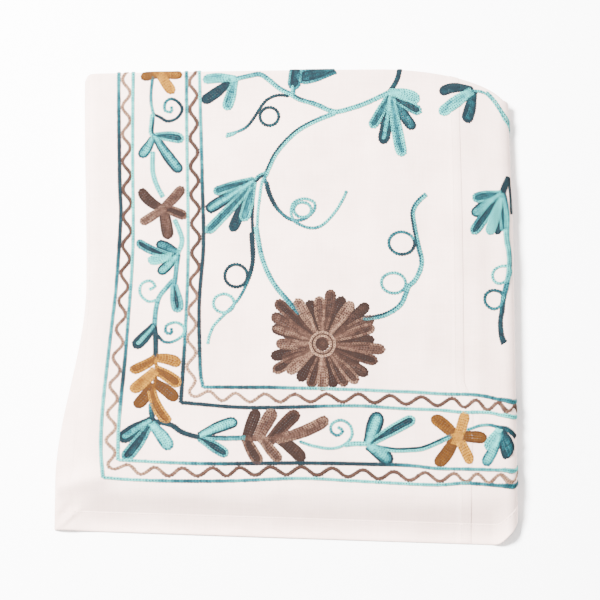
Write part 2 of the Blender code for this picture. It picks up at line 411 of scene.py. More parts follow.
def startMaterial(name, look):
    material = bpy.data.materials.new(name)
    material.use_nodes = True
    shader = material.node_tree.nodes["Principled BSDF"]
    shader.inputs["Roughness"].default_value = look["roughness"]
    shader.inputs["Sheen Weight"].default_value = look["sheen"]
    shader.inputs["Specular IOR Level"].default_value = look["specular"]
    return material, material.node_tree, shader


cottonLook = {
    "colour": "d6bbb1",
    "shade": "c8ada3",
    "shadeFrom": 0.62,
    "roughness": 0.88,
    "sheen": 0.12,
    "specular": 0.25,
    "thread": 0.0022,
    "slub": 0.0028,
    "slubLength": 0.045,
    "slubTint": 0.35,
    "weaveShare": 0.35,
    "weaveDepth": 0.0004,
    "weaveStrength": 0.30,
    "blotches": 14.0,
    "hem": 0.0250,
    "hemEdge": 0.001,
    "hemLight": 0.15,
    # painted shade in the hem's corner triangle between the mitre and the side edge
    "mitre": (0.0052, 0.0064),
    "paintedCornerShade": -0.4,
    # painted shade along the hem's inner edge and the seam's stitching lines
    "seamLines": (0.4978, 0.5065, 0.5099),
    "lineHalfWidth": 0.0016,
    "lineShade": 0.075,
}


def plainWeaveCotton(name):
    # Washed plain-weave cotton: matt, off-white, with slubs that cross as a soft grid.
    # Its real threads are about 0.4 mm apart; they are drawn 2.2 mm apart, as fine as shows
    look = cottonLook
    material, tree, shader = startMaterial(name, look)
    flat = addNode(tree, "ShaderNodeUVMap", {"uv_map": "flat cloth"})
    fine, coarse = 1 / look["slub"], 1 / look["slubLength"]
    slubs = []
    for scale in ((fine, coarse, 1), (coarse, fine, 1)):
        turned = addNode(tree, "ShaderNodeMapping", {"Scale": scale}, {"Vector": flat})
        slubs.append(addNode(tree, "ShaderNodeTexNoise", {"Scale": 1.0, "Detail": 2.0, "Roughness": 0.6},
                             {"Vector": turned}))
    slub = addNode(tree, "ShaderNodeMath", {"operation": "ADD"}, {0: slubs[0], 1: slubs[1]})
    bandSpacing = 2 * math.pi / 20  # of a wave texture at scale 1
    threads = [addNode(tree, "ShaderNodeTexWave",
                       {"bands_direction": direction, "Distortion": 0.6, "Detail": 1.0,
                        "Scale": bandSpacing / look["thread"]}, {"Vector": flat}, "Fac")
               for direction in ("X", "Y")]
    weave = addNode(tree, "ShaderNodeMath", {"operation": "MULTIPLY"}, {0: threads[0], 1: threads[1]})
    height = addNode(tree, "ShaderNodeMath", {"operation": "MULTIPLY_ADD", 1: look["weaveShare"]},
                     {0: weave, 2: slub})
    bump = addNode(tree, "ShaderNodeBump",
                   {"Strength": look["weaveStrength"], "Distance": look["weaveDepth"]}, {"Height": height})
    tree.links.new(bump, shader.inputs["Normal"])
    blotch = addNode(tree, "ShaderNodeTexNoise", {"Scale": look["blotches"], "Detail": 3.0},
                     {"Vector": flat})
    tint = addNode(tree, "ShaderNodeMath", {"operation": "MULTIPLY_ADD", 1: look["slubTint"]},
                   {0: slub, 2: blotch})
    cottonColour = addNode(tree, "ShaderNodeValToRGB", links={"Fac": tint})
    stops = cottonColour.node.color_ramp.elements
    for stop, at, colour in zip(stops, (look["shadeFrom"], 1.0), ("shade", "colour")):
        stop.position = at
        stop.color = (*linear(look[colour]), 1)
    # double cloth is lighter along the end hem up to its mitre, the corner triangle between the mitre and the
    # side edge has painted shade, and painted shade lies along the lines where sewing dents the cloth
    across = addNode(tree, "ShaderNodeSeparateXYZ", links={"Vector": flat})
    along = across.node.outputs["Y"]
    # painted shade along the hem's inner edge and the seam's stitching lines, where sewing dents the cloth
    paintedLineShades = None
    for source, middle in ((along, look["hem"]), *((across, line) for line in look["seamLines"])):
        away = addNode(tree, "ShaderNodeMath", {"operation": "SUBTRACT", 1: middle}, {0: source})
        away = addNode(tree, "ShaderNodeMath", {"operation": "ABSOLUTE"}, {0: away})
        paintedLineShade = addNode(tree, "ShaderNodeMapRange",
                       {"interpolation_type": "SMOOTHSTEP", "From Max": look["lineHalfWidth"],
                        "To Min": 1.0, "To Max": 0.0}, {"Value": away})
        if paintedLineShades is not None:
            paintedLineShade = addNode(tree, "ShaderNodeMath", {"operation": "ADD"}, {0: paintedLineShades, 1: paintedLineShade})
        paintedLineShades = paintedLineShade
    # the end hem is lighter past the mitre and has painted shade in the corner triangle before it
    beyondMitre = addNode(tree, "ShaderNodeMath", {"operation": "SUBTRACT"}, {0: across, 1: along})
    hemLightAndCornerShade = addNode(tree, "ShaderNodeMapRange",
                     {"From Min": look["mitre"][0], "From Max": look["mitre"][1],
                      "To Min": look["paintedCornerShade"], "To Max": 1.0}, {"Value": beyondMitre})
    inHem = addNode(tree, "ShaderNodeMapRange",
                    {"From Min": look["hem"] - look["hemEdge"], "From Max": look["hem"],
                     "To Min": look["hemLight"], "To Max": 0.0}, {"Value": along})
    lighter = addNode(tree, "ShaderNodeMath", {"operation": "MULTIPLY_ADD", 2: 1.0},
                      {0: inHem, 1: hemLightAndCornerShade})
    # the painted shade of the stitching lines darkens the colour
    shaded = addNode(tree, "ShaderNodeMath", {"operation": "MULTIPLY_ADD", 1: -look["lineShade"]},
                     {0: paintedLineShades, 2: lighter})
    colour = addNode(tree, "ShaderNodeVectorMath", {"operation": "SCALE"},
                     {0: cottonColour, "Scale": shaded})
    tree.links.new(colour, shader.inputs["Base Color"])
    return material


# Two-ply crewel wool: matt with a soft bloom, each link a little uneven in colour
woolLook = {"roughness": 0.85, "sheen": 0.05, "specular": 0.12, "fibre": 0.0009, "darker": 0.78,
            "lighter": 1.18, "bump": 0.35, "bumpDepth": 0.0003}
# White mercerised sewing thread: smoother than the cloth, with a slight gloss
threadLook = {"roughness": 0.6, "sheen": 0.0, "specular": 0.5, "fibre": 1 / 1200, "darker": 0.85,
              "lighter": 1.12, "bump": 0.0}


def dyedYarn(name, look):
    # Each stitch holds its own dye, with painted shade in its hollow and at its rim; the fibres make it
    # uneven
    material, tree, shader = startMaterial(name, look)
    dyeAndShade = addNode(tree, "ShaderNodeVertexColor", {"layer_name": "dyeAndShade"})
    place = addNode(tree, "ShaderNodeTexCoord", output="Object")
    fibre = addNode(tree, "ShaderNodeTexNoise", {"Scale": 1 / look["fibre"], "Detail": 2.0},
                    {"Vector": place})
    shade = addNode(tree, "ShaderNodeMapRange", {"To Min": look["darker"], "To Max": look["lighter"]},
                    {"Value": fibre})
    colour = addNode(tree, "ShaderNodeVectorMath", {"operation": "SCALE"}, {0: dyeAndShade, "Scale": shade})
    tree.links.new(colour, shader.inputs["Base Color"])
    if look["bump"]:
        bump = addNode(tree, "ShaderNodeBump", {"Strength": look["bump"], "Distance": look["bumpDepth"]},
                       {"Height": fibre})
        tree.links.new(bump, shader.inputs["Normal"])
    return material


# The two sewn panels: the sheet, hem, fell and their rises in mm, all other lengths in metres
panel = {
    "sheet": 0.8,
    "hem": 25,
    "hemRise": 0.55,
    "fell": 12.5,
    "fellRise": 0.60,
    "edge": 0.35,
    "edgeRounding": 0.5,
    "step": 0.004,
    "hiddenStep": 0.025,
    "rim": (0.0, 0.0003, 0.0009),
    "hemStep": 0.0022,
    "ledge": 0.0006,
    "ledgeEase": 0.0008,
    "sideHemEase": 0.007,
    "fellStep": 0.0026,
    "seamRim": (0.001, 0.0004),
    "seamStart": 0.0005,
    "slopeStep": 0.006,
    "turnSteps": 8,
    "acrossSteps": (0.0027, 0.012, 0.0016, 0.025, 0.0016, 0.025),
}


def evenly(start, end, step):
    count = max(1, round((end - start) / step))
    return [start + (end - start) * (i + 1) / count for i in range(count)]


def hemStations():
    edge = panel["hem"] * mm
    ledge = panel["ledge"]
    rim = list(panel["rim"])
    return rim + evenly(rim[-1], edge - ledge, panel["hemStep"]) + [edge, edge + ledge]


def alongStations():
    hidden = panel["hiddenStep"]
    slope = cloth["slopeBackY"] - cloth["frontFoldY"]
    places = hemStations()
    places += evenly(places[-1], alongLengths[0], panel["step"])
    for stage in range(1, 7):
        start = sum(alongLengths[:stage])
        end = start + alongLengths[stage]
        if stage % 2:
            places += evenly(start, end, alongLengths[stage] / panel["turnSteps"])
        elif stage == 4:
            places += evenly(start, start + slope, panel["slopeStep"]) + evenly(start + slope, end, hidden)
        else:
            places += evenly(start, end - slope, hidden) + evenly(end - slope, end, panel["slopeStep"])
    return places


def sideStations():
    seam = cloth["seam"] - cloth["seamGap"] / 2
    fell = cloth["seam"] - panel["fell"] * mm
    ledge = panel["ledge"]
    places = hemStations()
    places += evenly(places[-1], fell - ledge, panel["step"]) + [fell, fell + ledge]
    inner, outer = (seam - rim for rim in panel["seamRim"])
    return places + evenly(fell + ledge, inner, panel["fellStep"]) + [outer, seam]


def mainStations():
    seam = cloth["seam"] + cloth["seamGap"] / 2
    start = seam + panel["seamStart"]
    places = [seam, start] + evenly(start, acrossLengths[0], panel["step"])
    for stage, step in enumerate(panel["acrossSteps"], 1):
        start = sum(acrossLengths[:stage])
        places += evenly(start, start + acrossLengths[stage], step)
    return places


def halfThickness(u, v, outside):
    # The hem and the felled seam lie on the outside of the cloth
    half = panel["sheet"] * mm / 2
    fromSide = min(u, cloth["width"] - u)
    fromEnd = min(v, cloth["length"] - v)
    inward = min(fromSide, fromEnd) / half
    edge = min(1.0, panel["edge"] + inward * (1 - panel["edge"]) * panel["edgeRounding"])
    if outside:
        # the side hem is pressed smoother than the end hem
        hem = panel["hem"] * mm
        inHem = max(ease((hem - fromEnd) / panel["ledgeEase"]), ease((hem - fromSide) / panel["sideHemEase"]))
        half += panel["hemRise"] * mm * inHem
        if u < cloth["seam"]:
            pastFell = u - cloth["seam"] + panel["fell"] * mm + panel["ledgeEase"] / 2
            half += panel["fellRise"] * mm * ease(pastFell / panel["ledgeEase"])
    return half * edge


def sewPanel(name, across, along):
    bm = bmesh.new()
    bmesh.ops.create_grid(bm, x_segments=len(across) - 1, y_segments=len(along) - 1, size=0.5)
    for vert in bm.verts:
        vert.co.x = across[round((vert.co.x + 0.5) * (len(across) - 1))]
        vert.co.y = along[round((vert.co.y + 0.5) * (len(along) - 1))]
    lower = bmesh.ops.extrude_face_region(bm, geom=bm.faces[:], use_keep_orig=True)
    under = {part for part in lower["geom"] if isinstance(part, bmesh.types.BMVert)}
    flatMap = bm.loops.layers.uv.new("flat cloth")
    for face in bm.faces:
        for loop in face.loops:
            loop[flatMap].uv = loop.vert.co.xy
    for vert in bm.verts:
        u, v = vert.co.xy
        lift = -halfThickness(u, v, False) if vert in under else halfThickness(u, v, True)
        vert.co = onCloth(u + drift(u, v), v, lift)
    bmesh.ops.recalc_face_normals(bm, faces=bm.faces)
    mesh = finishMesh(name, bm)
    mesh.shade_smooth()
    mesh.materials.append(plainWeaveCotton(name + " plain-weave cotton"))
    piece = addObject(name, mesh)
    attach(piece, "root")
    print(name, len(mesh.polygons) * 2, "triangles")
    return piece


sideCloth = sewPanel("side_cloth", sideStations(), alongStations())
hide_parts("side_panel")
mainCloth = sewPanel("main_cloth", mainStations(), alongStations())
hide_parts("main_panel")

# Embroidery: rows of chain stitch in wool. Pale, middle and dark wool are dark hexes, because the
# bright light lifts them to the colours that the eye sees
yarns = {
    "teal": ("4cb2a9", "12585f", "020e15"),
    "brown": ("90705a", "402a21", "170a06"),
    "ochre": ("a0701c", "583504", "331a02"),
    "thread": ("dccabf", "c4b2a7", "a99a90"),
}
stitch = {
    "length": 3.6,
    "overlap": 1.6,
    "width": 4.4,
    "height": 1.25,
    "crownAt": 0.54,
    "hollowAt": 0.3,
    "hollowDepth": 0.6,
    "teardrop": 0.42,
    "tailLift": 0.5,
    "pressed": 0.4,
    "pressedFrom": 0.5,
    "pressedEase": 0.35,
    # painted shade: the rim of each stitch is darkened, and its hollow takes one fixed dark tone of the wool,
    # a little paler than the darkest rows
    "rimShadeTone": 0.5,
    "hollowShadeTone": 0.9,
    "waveHollowShadeTone": 0.6,
    "spread": 2.6,
    "fullWidth": (1.0, 1.0),
    "lineWidth": (1.14, 1.42),
    "waveWidth": (1.08, 1.38),
    "stemWidth": (1.08, 1.16),
    "unevenWidth": (0.94, 1.06),
    "unevenPlace": 0.12,
    "unevenTurn": 0.07,
    "unevenTone": 0.13,
    "farthestBack": 641,
}
hand = random.Random(11)


def dyed(yarn, tone):
    pale, middle, dark = (linear(colour) for colour in yarns[yarn])
    tone = within(tone) * 2
    if tone < 1:
        return [mix(a, b, tone) for a, b in zip(pale, middle)]
    return [mix(a, b, 1 - (2 - tone) ** 2) for a, b in zip(middle, dark)]


def row(path, yarn, tones, width=stitch["fullWidth"], hollowShade=stitch["hollowShadeTone"]):
    # Tones are percentages spread evenly along the row, 0 for the palest wool and 100 for the darkest.
    # The width is that of pale and of dark stitches, for pale wool looks thinner on white
    # the hollow's tone is painted shade inside each stitch
    return {"path": path, "yarn": yarn, "tones": [tone / 100 for tone in tones], "width": width,
            "hollowShade": hollowShade}


def curveThrough(points, pieces=8):
    # A smooth line through given points
    before = tuple(2 * a - b for a, b in zip(points[0], points[1]))
    after = tuple(2 * a - b for a, b in zip(points[-1], points[-2]))
    knots = [before, *points, after]
    path = []
    for a, b, c, d in zip(knots, knots[1:], knots[2:], knots[3:]):
        for i in range(pieces):
            t = i / pieces
            weights = (-t + 2 * t ** 2 - t ** 3, 2 - 5 * t ** 2 + 3 * t ** 3,
                       t + 4 * t ** 2 - 3 * t ** 3, -t ** 2 + t ** 3)
            path.append(tuple(sum(w * p for w, p in zip(weights, place)) / 2 for place in zip(a, b, c, d)))
    path.append(points[-1])
    return path


def beside(path, aside):
    # The same line, set to one side
    moved = []
    for i, (u, v) in enumerate(path):
        before = path[max(i - 1, 0)]
        after = path[min(i + 1, len(path) - 1)]
        span = math.hypot(after[0] - before[0], after[1] - before[1]) or 1.0
        moved.append((u - aside * (after[1] - before[1]) / span, v + aside * (after[0] - before[0]) / span))
    return moved


# Root and petal root are shares of the leaf's width, the rings' places are in rows of stitches
leafShape = {
    "root": {"teal": 0.55, "brown": 0.75, "ochre": 0.75},
    "petalRoot": 0.35,
    "rootInset": 0.2,
    "widest": 0.62,
    "tip": 1.25,
    "tipCrowding": 1.5,
    "steps": 9,
    "firstRing": 0.3,
    "oneMoreRing": 0.4,
    "middleInset": -0.2,
    "swing": 14,
}


def leafRing(root, tip, halfWidth, rootShare, bow, inset):
    # Up one side of the leaf, round its blunt tip and back down the other
    forwardU = tip[0] - root[0]
    forwardV = tip[1] - root[1]
    length = math.hypot(forwardU, forwardV)
    forwardU /= length
    forwardV /= length
    steps = leafShape["steps"]
    path = []
    for step in range(-steps, steps + 1):
        share = 1 - (abs(step) / steps) ** leafShape["tipCrowding"]
        reach = mix(leafShape["rootInset"] * inset, length - inset, share)
        body = halfWidth * mix(rootShare, 1.0, ease(share / leafShape["widest"]))
        toTip = within((length - inset - reach) / max(leafShape["tip"] * halfWidth, 0.1))
        aside = math.copysign(body * math.sqrt(1 - (1 - toTip) ** 2), step) + bow * 4 * share * (1 - share)
        path.append((root[0] + forwardU * reach - forwardV * aside,
                     root[1] + forwardV * reach + forwardU * aside))
    return path


def leafRows(yarn, root, tip, width, tones, bow=0.0, rootShare=None):
    # Filled with rings of stitches from the edge inwards, and a last row down the middle
    rows = []
    rootShare = rootShare or leafShape["root"][yarn]
    gap = stitch["spread"]
    rings = int(width / 2 / gap + leafShape["oneMoreRing"])
    for ring in range(rings):
        inset = (ring + leafShape["firstRing"]) * gap
        tone = tones[min(ring, len(tones) - 1)]
        swing = hand.uniform(0, leafShape["swing"])
        path = leafRing(root, tip, width / 2 - inset, rootShare, bow, inset)
        rows.append(row(path, yarn, (tone - swing, tone + swing, tone - swing / 2, tone + swing)))
    if width / 2 > rings * gap:
        inset = max(rings + leafShape["middleInset"], leafShape["firstRing"]) * gap
        middle = leafRing(root, tip, 0.0, rootShare, bow, inset)
        rows.append(row(middle[:leafShape["steps"] + 1], yarn, (tones[-1],)))
    return rows


def stemRows(yarn, points, *strands):
    # One row for each set of tones, side by side
    path = curveThrough(points)
    middle = (len(strands) - 1) / 2
    return [row(beside(path, (middle - i) * stitch["spread"]), yarn, tones, stitch["stemWidth"])
            for i, tones in enumerate(strands)]


def roundLine(centre, radius, start=0.0, turns=1.0, endRadius=None):
    # A circle, or a spiral where the end radius differs
    endRadius = radius if endRadius is None else endRadius
    steps = round(28 * turns)  # 28 points a turn
    path = []
    for i in range(steps + 1):
        share = i / steps
        angle = math.radians(start) + 2 * math.pi * turns * share
        reach = mix(radius, endRadius, share)
        path.append((centre[0] + reach * math.cos(angle), centre[1] + reach * math.sin(angle)))
    return path


def planRows(plan, across=0):
    # The rows of a plan, moved across the cloth where its pattern repeats
    rows = []
    for yarn, *leaves in plan["leaves"]:
        for leaf in leaves:
            rows += leafRows(yarn, *leaf)
    for yarn, *stems in plan["stems"]:
        for stem in stems:
            rows += stemRows(yarn, *stem)
    for centre, radius, high, tones in plan.get("rings", ()):
        loop = [(u, centre[1] + (v - centre[1]) * high / radius) for u, v in roundLine(centre, radius, 20)]
        rows.append(row(loop, "teal", tones, stitch["stemWidth"]))
    for one in rows:
        one["path"] = [(u + across, v) for u, v in one["path"]]
    return rows


# The borders run round the whole cloth: two lines with a wave between them, outside and inside a band.
# Each line has its points in mm on the flat cloth and its tones
sideLines = (
    (((60, 645), (61, 470), (62, 420), (57, 335), (53, 265), (53, 190), (56, 112), (61, 65)),
     (45, 50, 85, 97, 97, 90, 50, 40, 35, 20, 15, 15)),
    (((79, 645), (78, 500), (78, 385), (74, 290), (74, 205), (75, 130), (77, 90)),
     (35, 20, 12, 12, 15, 30, 35, 50, 95, 20, 15)),
    (((147, 645), (148, 530), (150, 380), (148, 270), (146, 168)),
     (55, 45, 20, 10, 10, 15, 40, 40, 90, 97)),
    (((163, 645), (168, 470), (170, 380), (165, 300), (168, 215), (172, 189)),
     (10, 15, 35, 50, 85, 97, 97, 97, 90, 40)),
)
endLines = (
    (((61, 65), (125, 64), (200, 66), (296, 72), (360, 71), (441, 69), (478, 69), (507, 72), (541, 71),
     (556, 69), (565, 62), (572, 55), (586, 46)), (12, 20, 70, 45, 40, 15, 12, 12, 15, 35, 65, 60)),
    (((77, 90), (170, 88), (300, 92), (425, 93), (470, 90), (504, 90), (541, 90), (556, 89), (564, 83),
     (572, 75), (586, 66)), (12, 15, 55, 95, 97, 95, 95, 90, 40, 40, 30, 20)),
    (((146, 168), (231, 163), (361, 168), (426, 166), (478, 165), (505, 163), (543, 163), (557, 159),
     (565, 153), (572, 146), (586, 134)), (97, 97, 97, 90, 40, 40, 15, 12, 12, 15)),
    (((172, 189), (283, 190), (426, 188), (478, 186), (511, 186), (529, 185), (543, 183), (557, 179),
     (565, 173), (572, 166), (586, 156)), (50, 80, 60, 20, 15, 15, 20, 30, 60, 50)),
)
# Each wave goes down the side, round the corner and along the end. Its beats say how many waves
# have passed by so many mm, because they were drawn by hand and differ in length
waves = (
    {"points": ((70, 645), (70, 500), (70, 400), (65, 290), (64, 200), (67, 120), (69, 92), (77, 81),
                (125, 76), (200, 78), (300, 82), (425, 79), (510, 79), (541, 79), (556, 78), (566, 70),
                (576, 62), (586, 56)),
     "beats": ((0, -1.2), (56, 0.25), (170, 3.25), (285, 6.25), (512, 12.25), (580, 14.25), (642, 16.25),
               (711, 18.25), (950, 24.25), (988, 25.25), (1047, 27.25), (1066, 27.8), (1090, 28.6)),
     "tones": (15, 15, 35, 80, 85, 85, 60, 40, 30, 15, 12, 25, 50, 75, 85, 85, 75, 55, 45, 25, 20)},
    {"points": ((155, 645), (158, 470), (160, 375), (156, 290), (157, 215), (158, 192), (168, 180),
                (231, 176), (361, 178), (426, 177), (500, 175), (542, 172), (556, 170), (569, 159),
                (586, 146)),
     "beats": ((0, -1.4), (61, 0.25), (217, 4.25), (335, 7.25), (448, 10.25), (516, 12.25), (593, 14.25),
               (717, 17.25), (798, 19.25), (858, 21.25), (900, 22.9)),
     "tones": (35, 50, 80, 85, 85, 80, 50, 20, 5, 5, 20, 45, 65, 75, 70, 60, 50, 50)},
)
waveShape = {"swing": 5.4, "pieces": 24, "upright": (535, 555), "endBorder": 250}


def waveAlong(points, beats):
    # A wavy row that swings to either side of a given line
    middle = curveThrough(points, waveShape["pieces"])
    nearFold, pastFold = waveShape["upright"]
    path = []
    travelled = 0.0
    for here, after in zip(middle, middle[1:]):
        span = math.hypot(after[0] - here[0], after[1] - here[1])
        aside = waveShape["swing"] * math.sin(2 * math.pi * np.interp(travelled, *zip(*beats)))
        slant = 1.0
        if here[1] < waveShape["endBorder"]:
            # near the fold the waves stay upright as seen from above
            slant -= ease((here[0] - nearFold) / (pastFold - nearFold))
        path.append((here[0] - slant * aside * (after[1] - here[1]) / span,
                     here[1] + aside * (after[0] - here[0]) / span))
        travelled += span
    return path


def borderRows():
    rows = []
    for points, tones in (*sideLines, *endLines):
        rows.append(row(curveThrough(points), "teal", tones, stitch["lineWidth"]))
    for wave in waves:
        path = waveAlong(wave["points"], wave["beats"])
        rows.append(row(path, "brown", wave["tones"], stitch["waveWidth"], stitch["waveHollowShadeTone"]))
    return rows


# In the plans below, leaves and stems are grouped by yarn. A leaf has its root and tip in mm, its
# width, its tones from the edge to the middle and its bow. A stem has its points, then the tones along
# each of its rows. A ring has its centre, half its width and half its height, and its tones

# The band that runs up the side, from the back fold down to the corner
sideBand = {
    "leaves": (
        ("ochre", ((112, 615), (89, 611), 11, (70, 60), 0), ((112, 615), (141, 613), 11, (55, 50), 0),
         ((112, 616), (130, 588), 12, (20, 30), 0), ((112, 614), (98, 646), 12, (30, 40), 0),
         ((113, 614), (127, 647), 12, (75, 50), 0)),
        ("teal", ((107, 529), (144, 524), 13, (25, 80), 1.5),
         ((107, 529), (140, 479), 13, (85, 45, 30), -1.5), ((104, 526), (88, 500), 12, (75, 30), 1.0)),
        ("brown", ((118, 428), (87, 455), 12.5, (92, 85), 3.5),
         ((114, 427), (143, 458), 12, (50, 60), -1.5), ((118, 430), (148, 418), 12, (50, 95), 0.5),
         ((117, 431), (124, 388), 14, (85, 60), 0.5), ((120, 431), (88, 409), 10.5, (40, 50), 0.5)),
        ("teal", ((137, 368), (109, 382), 11.5, (95, 60), -1.5),
         ((130, 365), (83, 384), 10.5, (45, 95), 3.5), ((129, 365), (98, 358), 11.5, (10, 20), 1.0),
         ((135, 364), (112, 341), 12, (80, 30), 0.5), ((132, 325), (138, 289), 15, (30, 45, 95), 0),
         ((108, 271), (84, 241), 14, (97, 90, 35), 0.5)),
        ("ochre", ((112, 227), (82, 209), 12, (35, 65), 1.5), ((112, 227), (143, 220), 13, (30, 40), 2.0),
         ((113, 211), (86, 182), 14, (20, 35), 1.0), ((112, 212), (144, 191), 14, (25, 75), 1.5),
         ((112, 192), (93, 161), 13.5, (85, 80), 1.0), ((112, 194), (141, 172), 13.5, (80, 90), 1.5),
         ((110, 184), (133, 141), 12, (20, 65), -3.5)),
        ("teal", ((113, 144), (77, 116), 16, (97, 95, 40), -1.0), ((111, 138), (84, 91), 14, (35, 90), 1.0),
         ((112, 140), (136, 106), 14, (45, 15, 20), 1.5)),
    ),
    "stems": (
        ("teal", (((104, 611), (102, 593), (102, 575), (105, 559)), (60, 30)),
         (((104, 559), (113, 555), (123, 549), (135, 553), (142, 565), (136, 576), (127, 580), (120, 574),
          (120, 564), (128, 562), (128, 569)), (90, 97, 90, 90, 70, 40, 30)),
         (((104, 559), (103, 547), (102, 534), (106, 528)), (20, 90, 60), (10, 15)),
         (((104, 507), (104, 480), (109, 461), (117, 445)), (25, 15), (15, 20)),
         (((132, 414), (139, 398), (142, 383), (136, 367)), (15, 12, 20), (20, 10, 30)),
         (((137, 367), (135, 350), (132, 322)), (60, 40, 60), (30, 45)),
         (((131, 332), (114, 311), (109, 293), (108, 271)), (55, 35, 50), (30, 35, 50)),
         (((113, 306), (99, 303), (88, 313), (89, 326), (100, 331), (107, 324), (100, 319)),
          (25, 10, 12, 15)),
         (((107, 272), (110, 257), (112, 227)), (97, 95), (80, 95)),
         (((112, 258), (121, 249), (132, 249), (144, 257), (146, 268), (136, 275), (124, 271), (123, 262),
          (130, 260), (130, 267)), (95, 55, 25, 20, 25, 45, 50))),
        ("ochre", (((112, 228), (114, 203), (111, 180)), (40, 60))),
        ("teal", (((111, 166), (112, 154), (114, 144)), (97, 90), (60, 80))),
    ),
}

# The band that runs across the end, from the corner to the fold at the right
endBand = {
    "leaves": (
        ("teal", ((169, 124), (215, 145), 14, (80, 25, 15), 2.0),
         ((169, 122), (203, 100), 13, (35, 90), 0)),
        ("brown", ((226, 119), (241, 160), 13.5, (92, 85), 0.5),
         ((226, 124), (245, 90), 14, (45, 90), -1.0), ((240, 119), (263, 161), 15.5, (45, 50), 0.5),
         ((247, 123), (271, 94), 12.5, (40, 60), -0.5), ((257, 119), (294, 159), 15.5, (65, 90), 1.0),
         ((268, 124), (302, 96), 15, (90, 85), 1.5), ((265, 122), (333, 150), 14, (45, 50), -3.5)),
        ("teal", ((384, 118), (399, 160), 19, (97, 60, 25), 0), ((387, 119), (445, 154), 13, (15, 85), 1.0),
         ((384, 117), (415, 96), 17, (97, 50, 30), 1.0)),
        ("ochre", ((501, 127), (468, 156), 14.5, (55, 65), -2.5),
         ((497, 120), (511, 163), 12, (12, 20), -1.0), ((500, 131), (538, 130), 13.5, (85, 65), 1.0),
         ((496, 136), (517, 98), 11.5, (15, 25), 1.5), ((498, 132), (473, 94), 14.5, (80, 70), 2.5)),
        ("teal", ((555, 142), (538, 116), 13, (12, 20), 0.5), ((556, 134), (535, 96), 12, (55, 25), 0.5),
         ((557, 138), (567, 99), 13, (95, 70), 0)),
    ),
    "stems": (
        ("teal", (((114, 143), (136, 138), (148, 129), (169, 122)), (97, 97, 90), (95, 90, 97)),
         (((173, 123), (195, 122), (226, 123)), (90, 75, 50), (40, 35))),
        ("brown", (((226, 123), (251, 122), (283, 124)), (70, 50, 40), (50, 70))),
        ("teal", (((296, 120), (317, 114), (338, 112), (355, 118), (364, 130), (361, 143), (350, 149),
          (338, 144), (337, 134), (345, 129), (352, 135), (346, 140)),
          (50, 15, 12, 15, 30, 25, 30, 45, 30)),
         (((354, 117), (369, 119), (384, 119)), (20, 10), (12, 15)),
         (((386, 117), (417, 112), (441, 113), (458, 116), (493, 132)), (10, 90, 85, 60), (15, 10, 20, 35)),
         (((513, 140), (530, 146), (545, 147), (559, 142), (567, 132), (575, 117)), (30, 40, 80, 95))),
    ),
}

